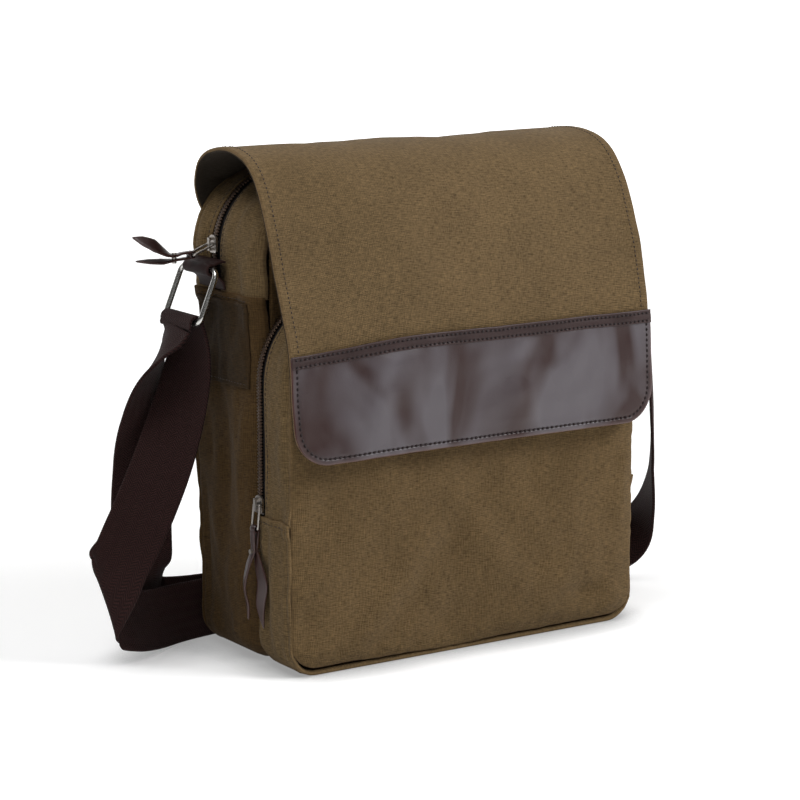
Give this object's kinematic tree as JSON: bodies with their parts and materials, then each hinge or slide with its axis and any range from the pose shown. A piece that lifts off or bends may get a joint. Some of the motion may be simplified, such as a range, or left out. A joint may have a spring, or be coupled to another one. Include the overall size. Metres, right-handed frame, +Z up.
{
  "type": "messenger bag",
  "caption": "Small upright canvas messenger bag with a leather-edged front flap, front zip pocket, side rings and an adjustable webbing shoulder strap.",
  "frame": {"origin": "on the ground under the middle of the body's width, on the line between main compartment and pocket depths", "axes": "+Z up, -Y towards the flap's front, +X towards the bag's left-hand side seen from its back"},
  "size_m": [0.447, 0.144, 0.3163],
  "materials": {
    "canvas": "washed olive-brown heavy cotton canvas",
    "lining": "dark plain-weave cotton",
    "zip_tape": "dark woven tape",
    "zip_metal": "aged dark",
    "tab_webbing": "dark brown webbing",
    "strap_webbing": "dark brown twill webbing",
    "ring_steel": "nickel plated",
    "lace_leather": "waxed thong",
    "band_leather": "waxed, worn, semi-gloss",
    "board": "matt stiffener board"
  },
  "bodies": {
    "bag": {"back_panel": "canvas", "main_front_panel": "canvas", "front_panel": "canvas", "main_lower_gusset": "canvas", "main_zip_strip_rear": "canvas", "main_zip_strip_front": "canvas", "main_zip_tape_rear": "zip_tape", "main_zip_tape_front": "zip_tape", "main_zip_chain": "zip_metal", "pocket_lower_gusset": "canvas", "pocket_zip_strip_front": "canvas", "pocket_zip_tape_rear": "zip_tape", "pocket_zip_tape_front": "zip_tape", "pocket_zip_chain": "zip_metal", "main_zip_stops": "zip_metal", "pocket_zip_stops": "zip_metal", "main_lining": "lining", "pocket_lining": "lining", "base_board": "board", "side_patch_left": "canvas", "side_patch_right": "canvas", "tab_left": "tab_webbing", "tab_right": "tab_webbing", "flap_seam_strip": "canvas", "snap_socket": "ring_steel", "strap_right": "strap_webbing", "strap_left": "strap_webbing", "strap_tail_upper": "strap_webbing", "strap_tail_end": "strap_webbing"},
    "flap_top": {"flap_top_canvas": "canvas", "flap_top_lining": "lining"},
    "flap_front": {"flap_front_canvas": "canvas", "flap_front_lining": "lining", "flap_leather_band": "band_leather", "band_top_strip": "band_leather", "snap_stud": "ring_steel"},
    "main_slider": {"main_slider": "zip_metal"},
    "main_pull": {"main_pull": "zip_metal"},
    "main_lace": {"main_lace": "lace_leather", "main_lace_rivet": "zip_metal"},
    "pocket_slider": {"pocket_slider": "zip_metal"},
    "pocket_pull": {"pocket_pull": "zip_metal"},
    "pocket_lace": {"pocket_lace": "lace_leather", "pocket_lace_rivet": "zip_metal"},
    "ring_left": {"ring_left": "ring_steel", "strap_loop_left": "strap_webbing"},
    "ring_right": {"ring_right": "ring_steel", "strap_loop_right": "strap_webbing"},
    "strap_adjuster": {"strap_adjuster": "ring_steel"}
  },
  "joints": [
    {"name": "flap_back_hinge", "type": "hinge", "parent": "bag", "child": "flap_top", "pos_m": [0, 0.0574, 0.2848], "axis": [-1, 0, 0], "range_deg": [0, 175]},
    {"name": "flap_front_hinge", "type": "hinge", "parent": "flap_top", "child": "flap_front", "pos_m": [0, -0.022, 0.304], "axis": [-1, 0, 0], "range_deg": [0, 120]},
    {"name": "main_zip_travel", "type": "hinge", "parent": "bag", "child": "main_slider", "pos_m": [-0.08, 0.0315, 0.252], "axis": [0, 1, 0], "range_deg": [0, 35]},
    {"name": "main_pull_swing", "type": "hinge", "parent": "main_slider", "child": "main_pull", "pos_m": [-0.13265, 0.0315, 0.257], "axis": [0, 1, 0], "range_deg": [0, 60]},
    {"name": "main_lace_swing", "type": "hinge", "parent": "main_pull", "child": "main_lace", "pos_m": [-0.14656, 0.0315, 0.25138], "axis": [0, 1, 0], "range_deg": [-20, 45]},
    {"name": "pocket_zip_travel", "type": "slide", "parent": "bag", "child": "pocket_slider", "axis": [0, 0, 1], "range_m": [0, 0.072]},
    {"name": "pocket_pull_swing", "type": "hinge", "parent": "pocket_slider", "child": "pocket_pull", "pos_m": [-0.13265, -0.021, 0.103], "axis": [0, 1, 0], "range_deg": [0, 120]},
    {"name": "pocket_lace_swing", "type": "hinge", "parent": "pocket_pull", "child": "pocket_lace", "pos_m": [-0.13422, -0.021, 0.08808], "axis": [0, 1, 0], "range_deg": [0, 30]},
    {"name": "ring_left_swing", "type": "hinge", "parent": "bag", "child": "ring_left", "pos_m": [-0.141, 0.031, 0.243], "axis": [0, 1, 0], "range_deg": [-20, 35], "deforming": ["strap_left", "strap_tail_upper"]},
    {"name": "ring_right_swing", "type": "hinge", "parent": "bag", "child": "ring_right", "pos_m": [0.141, 0.031, 0.243], "axis": [0, -1, 0], "range_deg": [-60, 15], "deforming": ["strap_right"]},
    {"name": "adjuster_travel", "type": "slide", "parent": "bag", "child": "strap_adjuster", "axis": [1, 0, 0], "range_m": [0, 0.025], "deforming": ["strap_tail_end"]}
  ]
}
